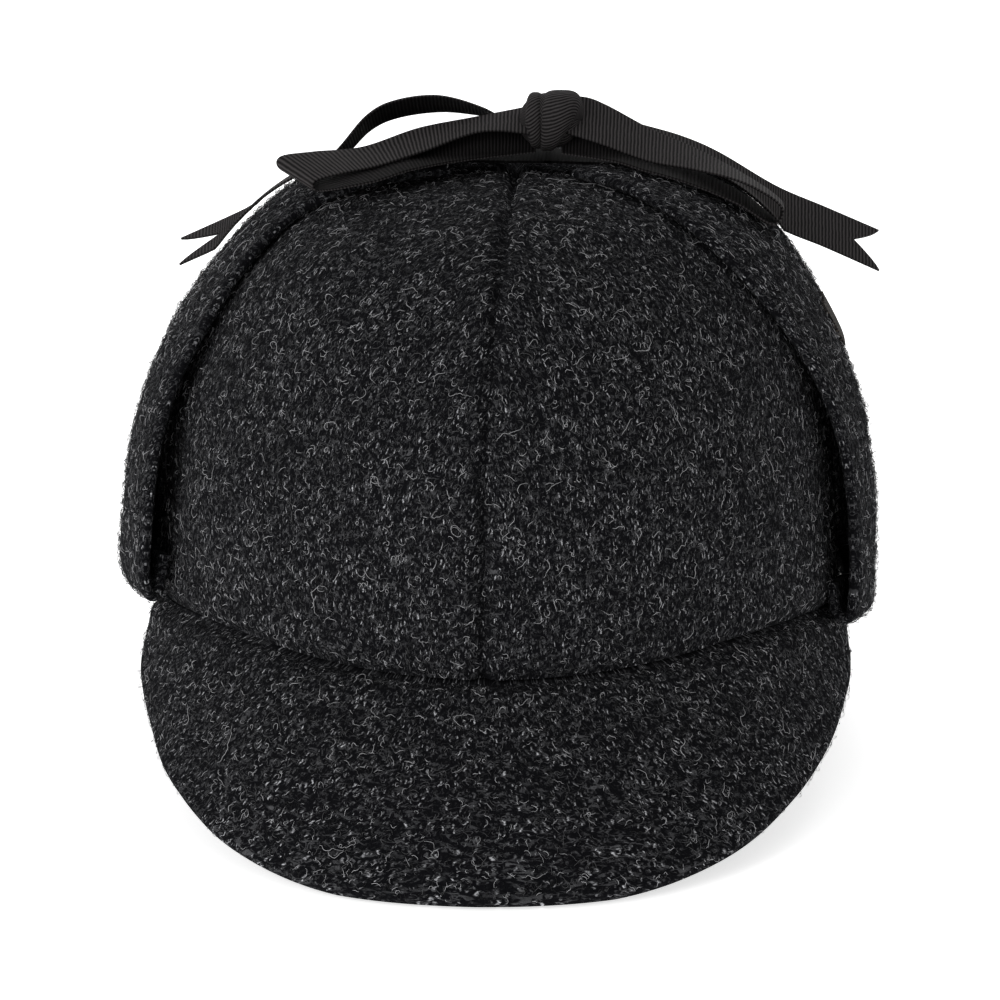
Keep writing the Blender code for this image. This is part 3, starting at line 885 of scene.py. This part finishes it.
def finish_named(name):
    """The hat's material of that name, made when first asked for."""
    found = bpy.data.materials.get(name)
    if found:
        return found
    cloth = bpy.context.scene.hat_cloth
    makers = {"tweed_cloth": tweed_finish, "ribbon_weave": ribbon_finish, "label_weave": label_finish}
    if name in makers:
        return makers[name](cloth)
    return wool_finish(name, WOOL_LEVELS[name])


# ---- pieces

def put(name, data):
    """Put an object in the scene."""
    made = bpy.data.objects.new(name, data)
    bpy.context.scene.collection.objects.link(made)
    return made


def drawn_mesh(name, bm):
    """Turn a bmesh into a mesh and free it."""
    mesh = bpy.data.meshes.new(name)
    bm.to_mesh(mesh)
    bm.free()
    return mesh


def show(name, mesh, finish, node):
    """Put a mesh with its finish in the scene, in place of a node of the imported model."""
    mesh.materials.append(finish_named(finish))
    piece = put(name, mesh)
    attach(piece, "root")
    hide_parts(node)
    return piece


def cloth_mesh(name, outer, inner, flat, back_shift=0.0):
    """Closed cloth between two grids of points, with its flat lay as its UV map."""
    columns, rows = outer.shape[0] - 1, outer.shape[1] - 1
    bm = bmesh.new()
    bmesh.ops.create_grid(bm, x_segments=columns, y_segments=rows, size=1.0)
    first = bm.verts[:]
    extruded = bmesh.ops.extrude_face_region(bm, geom=bm.faces[:])["geom"]
    second = [item for item in extruded if isinstance(item, bmesh.types.BMVert)]
    lays = {}
    for skin, verts, shift in ((outer, first, 0.0), (inner, second, back_shift)):
        for vert in verts:
            column = round((vert.co.x + 1) / 2 * columns)
            row = round((vert.co.y + 1) / 2 * rows)
            vert.co = skin[column, row]
            lays[vert] = flat[column, row] + (shift, 0.0)
    layer = bm.loops.layers.uv.new(CLOTH_MAP)
    for face in bm.faces:
        face.smooth = True
        for loop in face.loops:
            loop[layer].uv = lays[loop.vert]
    bmesh.ops.recalc_face_normals(bm, faces=bm.faces)
    if bm.calc_volume(signed=True) < 0:
        bmesh.ops.reverse_faces(bm, faces=bm.faces)
    mesh = drawn_mesh(name, bm)
    mesh.set_sharp_from_angle(angle=math.radians(SHARP_ANGLE))
    return mesh


def show_ribbon(node, skins, shift, back_shift):
    """Show a strip of ribbon; shift moves it aside in its map."""
    # Sides moved BACK_SHIFT or more aside in the map get painted shade from the ribbon's finish.
    outer, inner, flat = skins
    name = f"{node}_ribbon"
    mesh = cloth_mesh(name, outer, inner, flat + (shift, 0.0), back_shift)
    piece = show(name, mesh, "ribbon_weave", node)


def crown_skins():
    """Every tweed piece's skins by name: crown panels, peaks and flaps."""
    skins = {}
    for depth, rear in (("front", -1), ("rear", 1)):
        for hand, right in HANDS:
            skins[f"crown_{depth}_{hand}"] = crown_panel_skins(right, rear)
        skins[f"{depth}_peak"] = peak_skins(rear)
    for hand, right in HANDS:
        skins[f"flap_{hand}"] = flap_skins(right)
    return {name: (outer, inner, flat + np.array(CUT_STEP) * cut)
            for cut, (name, (outer, inner, flat)) in enumerate(skins.items())}


def show_tweed(part):
    """Make the tweed pieces whose name holds that word."""
    for node, skins in crown_skins().items():
        if part in node:
            name = f"{node}_tweed"
            show(name, cloth_mesh(name, *skins), "tweed_cloth", node)


class TweedStep:
    """What the steps that make tweed pieces share."""

    def execute(self, context):
        show_tweed(self.part)
        return {"FINISHED"}


class MakeCrown(TweedStep, bpy.types.Operator):
    """Make the crown's four tweed panels"""

    bl_idname = "hat.crown"
    bl_label = "Crown panels"
    part = "crown"


class MakePeaks(TweedStep, bpy.types.Operator):
    """Make the front and the rear peak"""

    bl_idname = "hat.peaks"
    bl_label = "Peaks"
    part = "peak"


class MakeFlaps(TweedStep, bpy.types.Operator):
    """Make the two ear flaps"""

    bl_idname = "hat.flaps"
    bl_label = "Ear flaps"
    part = "flap"


class MakeLabel(bpy.types.Operator):
    """Make the label on the right flap"""

    bl_idname = "hat.label"
    bl_label = "Flap label"

    def execute(self, context):
        name = "flap_label_cloth"
        show(name, cloth_mesh(name, *label_skins()), "label_weave", "flap_label")
        return {"FINISHED"}


class MakeTies(bpy.types.Operator):
    """Make the ribbons sewn on the flaps"""

    bl_idname = "hat.ties"
    bl_label = "Ties"

    def execute(self, context):
        for hand, side in HANDS:
            # A tie's both sides lie where the finish paints them almost black, as painted shade under the
            # knot.
            show_ribbon(f"tie_{hand}", tie_skins(side), 2 * BACK_SHIFT, 0.0)
        return {"FINISHED"}


class MakeBow(bpy.types.Operator):
    """Make the bow's loops and tails"""

    bl_idname = "hat.bow"
    bl_label = "Bow loops and tails"

    def execute(self, context):
        for hand, side in HANDS:
            for kind, paths, reaches, notch, held in (
                ("loop", LOOP_PATH, LOOP_REACH, 0.0, "folded"),
                ("tail", TAIL_PATH, TAIL_REACH, TAIL_NOTCH, "draped"),
            ):
                skins = ribbon_skins(paths[hand], reaches[hand], side, notch)
                # A loop's or tail's back gets painted shade, for the shade inside the loops.
                show_ribbon(f"bow_{kind}_{hand}", skins, 0.0, BACK_SHIFT)
        return {"FINISHED"}


def knot_part(bm, layer, half_widths, middles, half_depth, half_height, squareness, slant):
    """A band drawn tight round the knot, its edges rolled in."""
    round_steps, width_steps = KNOT_SEGMENTS
    made = bmesh.ops.create_uvsphere(bm, u_segments=round_steps, v_segments=width_steps, radius=1.0)
    middle = knot_middle()
    rounds = {}
    for vert in made["verts"]:
        level = max(-1.0, min(1.0, vert.co.z))
        turn = math.atan2(vert.co.y, vert.co.x) / (2 * math.pi) % 1.0
        rounds[vert] = (turn, math.asin(level) / (math.pi / 2))
    for vert, (turn, side) in rounds.items():
        half_width, centre = smooth_table(
            [(half_widths[step % 4], middles[step % 4]) for step in range(-1, 6)], (turn * 4 + 1) / 6)
        angle = turn * 2 * math.pi
        full = (1 - abs(side) ** squareness) ** (1 / squareness)
        corner = abs(math.sin(angle)) ** KNOT_FULLNESS + abs(math.cos(angle)) ** KNOT_FULLNESS
        reach = corner ** (-1 / KNOT_FULLNESS)
        vert.co = Vector((
            float(centre + half_width * side),
            middle[1] - math.sin(angle) * reach * half_depth * full,
            middle[2] + math.cos(angle) * reach * half_height * full,
        ))
    around = math.pi * (half_depth + half_height) / MM
    for face in {face for vert in rounds for face in vert.link_faces}:
        face.smooth = True
        turns = [rounds[loop.vert][0] for loop in face.loops]
        wraps = max(turns) - min(turns) > 0.5
        for loop in face.loops:
            turn, side = rounds[loop.vert]
            if wraps and turn < 0.5:
                turn += 1.0
            width = max(half_widths) / MM * side
            along = turn * around + slant * width + abs(slant) * width * width * KNOT_RIB_BEND
            loop[layer].uv = (width, along)


class MakeKnot(bpy.types.Operator):
    """Make the bow's knot"""

    bl_idname = "hat.knot"
    bl_label = "Bow knot"

    def execute(self, context):
        bm = bmesh.new()
        layer = bm.loops.layers.uv.new(CLOTH_MAP)
        for part in KNOT_PARTS.values():
            knot_part(bm, layer, *part)
        bmesh.ops.recalc_face_normals(bm, faces=bm.faces)
        name = "bow_knot_ribbon"
        show(name, drawn_mesh(name, bm), "ribbon_weave", "bow_knot")
        return {"FINISHED"}


def scatter(rng, skin, density, margin):
    """Places on a skin clear of its edges, with the surface's normal and a direction along it."""
    cross = np.cross(skin[1:, 1:] - skin[:-1, :-1], skin[1:, :-1] - skin[:-1, 1:])
    area = np.linalg.norm(cross, axis=-1).ravel() / 2
    count = int(area.sum() / MM**2 * density)
    cell = rng.choice(area.size, size=count, p=area / area.sum())
    column, row = np.unravel_index(cell, cross.shape[:2])
    a, b = rng.random((2, count, 1))

    def read(grid):
        near = grid[column, row] * (1 - b) + grid[column, row + 1] * b
        far = grid[column + 1, row] * (1 - b) + grid[column + 1, row + 1] * b
        return near * (1 - a) + far * a

    normals = unit(read(grid_normals(skin)))
    level = np.gradient(skin, axis=0)
    along = unit(read(level) - normals * np.sum(read(level) * normals, axis=-1, keepdims=True))
    from_edges = np.minimum.reduce((*edge_distance(skin, 0), *edge_distance(skin, 1)))
    clear = read(from_edges[..., None])[:, 0] > margin
    return read(skin)[clear], normals[clear], along[clear]


def curled_fibres(rng, places, normals, along, points, shortest, longest, turning):
    """Centre lines of fibres that curl over a surface."""
    count = len(places)
    share = np.linspace(0.0, 1.0, points)[None, :]
    length = rng.uniform(shortest, longest, (count, 1)) * rng.uniform(0.6, 1.0, (count, 1))
    bend = rng.normal(0.0, turning / 2, (count, 1)) + rng.uniform(-0.4, 0.4, (count, 1)) * turning
    wobble = np.cumsum(rng.normal(0.0, FIBRE_WOBBLE, (count, points)), axis=1)
    heading = rng.uniform(0, 2 * math.pi, (count, 1)) + bend * share + wobble
    step = (length / (points - 1))[..., None] * np.stack((np.cos(heading), np.sin(heading)), axis=-1)
    path = np.cumsum(step, axis=1) - step.sum(axis=1, keepdims=True) / 2
    lift = FIBRE_SEAT + np.abs(rng.normal(0.0, FIBRE_RISE, (count, 1))) * np.sin(math.pi * share)
    sag = np.sum(path**2, axis=-1) / (2 * sizes().crown_half_width)
    side = np.cross(normals, along)
    line = places[:, None] + along[:, None] * path[..., :1] + side[:, None] * path[..., 1:]
    return line + normals[:, None] * (lift - sag)[..., None]


def tube_mesh(name, batches):
    """Thin closed tubes round many centre lines; a batch is lines, normals and a finish for each line."""
    verts, faces, finishes = [], [], []
    offset = 0
    for lines, normals, finish in batches:
        count, points = lines.shape[:2]
        ahead = unit(np.gradient(lines, axis=1))
        side = unit(np.cross(normals[:, None], ahead))
        up = np.cross(ahead, side)
        taper = (1 - FIBRE_TAPER * np.abs(np.linspace(-1, 1, points)) ** 3)[None, :, None]
        ring = []
        for corner in range(FIBRE_SIDES):
            angle = 2 * math.pi * corner / FIBRE_SIDES
            ring.append(lines + (side * math.cos(angle) + up * math.sin(angle)) * FIBRE_RADIUS * taper)
        tube = np.stack(ring, axis=2).reshape(count * points * FIBRE_SIDES, 3)
        strip = []
        for row in range(0, (points - 1) * FIBRE_SIDES, FIBRE_SIDES):
            for corner in range(FIBRE_SIDES):
                here, beside = row + corner, row + (corner + 1) % FIBRE_SIDES
                strip.append((here, beside, beside + FIBRE_SIDES))
                strip.append((here, beside + FIBRE_SIDES, here + FIBRE_SIDES))
        last = (points - 1) * FIBRE_SIDES
        strip += [(2, 1, 0), (last, last + 1, last + 2)]
        starts = offset + np.arange(count) * points * FIBRE_SIDES
        faces.append((starts[:, None, None] + np.array(strip)[None]).reshape(-1, 3))
        finishes.append(np.repeat(finish, len(strip)))
        verts.append(tube)
        offset += len(tube)
    verts, faces = np.concatenate(verts), np.concatenate(faces)
    mesh = bpy.data.meshes.new(name)
    mesh.vertices.add(len(verts))
    mesh.vertices.foreach_set("co", verts.astype(np.float32).ravel())
    mesh.loops.add(faces.size)
    mesh.loops.foreach_set("vertex_index", faces.astype(np.int32).ravel())
    mesh.polygons.add(len(faces))
    mesh.polygons.foreach_set("loop_start", np.arange(0, faces.size, 3, dtype=np.int32))
    for wool in WOOL_LEVELS:
        mesh.materials.append(finish_named(wool))
    mesh.polygons.foreach_set("material_index", np.concatenate(finishes).astype(np.int32))
    mesh.update(calc_edges=True)
    mesh.shade_smooth()
    return mesh


class MakeWool(bpy.types.Operator):
    """Scatter loose wool fibres over the tweed"""

    bl_idname = "hat.wool"
    bl_label = "Loose wool"

    def execute(self, context):
        cloth = context.scene.hat_cloth
        rng = np.random.default_rng(cloth.wool_seed)
        for node, (outer, _, _) in crown_skins().items():
            density = cloth.wool_density
            for word, share in WOOL_THINNING.items():
                if word in node:
                    density *= share
            batches = []
            for points, shortest, longest, turning, share in CURLS.values():
                margin = longest * EDGE_MARGIN
                places, normals, along = scatter(rng, outer, density * share, margin)
                lines = curled_fibres(rng, places, normals, along, points, shortest, longest, turning)
                clear = lines[..., 2].min(axis=1) > TABLE_CLEARANCE
                lines, normals = lines[clear], normals[clear]
                finish = rng.choice(len(WOOL_LEVELS), size=len(lines), p=WOOL_SHARES)
                batches.append((lines, normals, finish))
            name = f"{node}_wool"
            piece = put(name, tube_mesh(name, batches))
            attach(piece, "root")
        return {"FINISHED"}


def backdrop_finish(stage):
    finish = Finish("backdrop")
    return finish.feed(Base_Color=opaque(stage.floor), Roughness=0.9, Specular_IOR_Level=0.0,
                       Emission_Color=opaque(stage.floor), Emission_Strength=stage.glow)


def soft_light(name, power, size, place):
    """A square soft light aimed where the camera looks."""
    lamp = bpy.data.lights.new(name, "AREA")
    lamp.energy = power
    lamp.size = size
    light = put(name, lamp)
    light.location = place
    light.rotation_euler = (Vector(CAMERA_TARGET) - Vector(place)).to_track_quat("-Z", "Y").to_euler()
    return light


class MakeStage(bpy.types.Operator):
    """Make the floor, the light and the camera"""

    bl_idname = "hat.stage"
    bl_label = "Stage"

    def execute(self, context):
        stage = context.scene.hat_stage
        bm = bmesh.new()
        bmesh.ops.create_grid(bm, x_segments=1, y_segments=1, size=FLOOR_HALF)
        edge = [edge for edge in bm.edges if all(vert.co.y > 0 for vert in edge.verts)]
        raised = bmesh.ops.extrude_edge_only(bm, edges=edge)["geom"]
        top = [item for item in raised if isinstance(item, bmesh.types.BMVert)]
        bmesh.ops.translate(bm, vec=(0, 0, BACKDROP_HEIGHT), verts=top)
        bmesh.ops.bevel(bm, geom=edge, offset=BACKDROP_BEND, segments=12, profile=0.5,
                        affect="EDGES", material=-1)
        for face in bm.faces:
            face.smooth = True
        bmesh.ops.recalc_face_normals(bm, faces=bm.faces)
        backdrop = put("backdrop", drawn_mesh("backdrop", bm))
        backdrop.data.materials.append(backdrop_finish(stage))

        world = bpy.data.worlds.new("studio")
        world.use_nodes = True
        surround = world.node_tree.nodes["Background"]
        surround.inputs["Color"].default_value = (1.0, 1.0, 1.0, 1.0)
        surround.inputs["Strength"].default_value = stage.surround
        context.scene.world = world
        context.scene.view_settings.view_transform = "Standard"

        key = soft_light("key_light", stage.key, KEY_SIZE, KEY_PLACE)
        fill = soft_light("top_light", stage.fill, TOP_SIZE, TOP_PLACE)

        elevation, yaw = math.radians(CAMERA_ELEVATION), math.radians(CAMERA_YAW)
        towards = Vector((
            math.sin(yaw) * math.cos(elevation),
            -math.cos(yaw) * math.cos(elevation),
            math.sin(elevation),
        ))
        data = bpy.data.cameras.new("camera")
        data.lens = CAMERA_LENS
        data.sensor_width = 36.0
        data.sensor_fit = "HORIZONTAL"
        camera = put("camera", data)
        camera.location = Vector(CAMERA_TARGET) + towards * CAMERA_DISTANCE
        camera.rotation_euler = towards.to_track_quat("Z", "Y").to_euler()
        context.scene.camera = camera
        return {"FINISHED"}


class HatPanel(bpy.types.Panel):
    """Sidebar panel with the hat's settings and steps"""

    bl_idname = "VIEW3D_PT_hat"
    bl_label = "Deerstalker hat"
    bl_space_type = "VIEW_3D"
    bl_region_type = "UI"
    bl_category = "Hat"

    def draw(self, context):
        for group in (context.scene.hat_sizes, context.scene.hat_cloth, context.scene.hat_stage):
            box = self.layout.box()
            for name in group.bl_rna.properties.keys():
                if name not in ("rna_type", "name"):
                    box.prop(group, name)
        for step in STEPS:
            self.layout.operator(step.bl_idname)


STEPS = (MakeCrown, MakePeaks, MakeFlaps, MakeLabel, MakeTies, MakeKnot, MakeBow, MakeWool, MakeStage)
GROUPS = {"hat_sizes": HatSizes, "hat_cloth": HatCloth, "hat_stage": HatStage}


def register():
    for group in (*GROUPS.values(), *STEPS, HatPanel):
        bpy.utils.register_class(group)
    for name, group in GROUPS.items():
        setattr(bpy.types.Scene, name, PointerProperty(type=group))


def unregister():
    for name in GROUPS:
        delattr(bpy.types.Scene, name)
    for group in reversed((*GROUPS.values(), *STEPS, HatPanel)):
        bpy.utils.unregister_class(group)


def main():
    register()
    for step in STEPS:
        family, name = step.bl_idname.split(".")
        getattr(getattr(bpy.ops, family), name)()


if __name__ == "__main__":
    main()
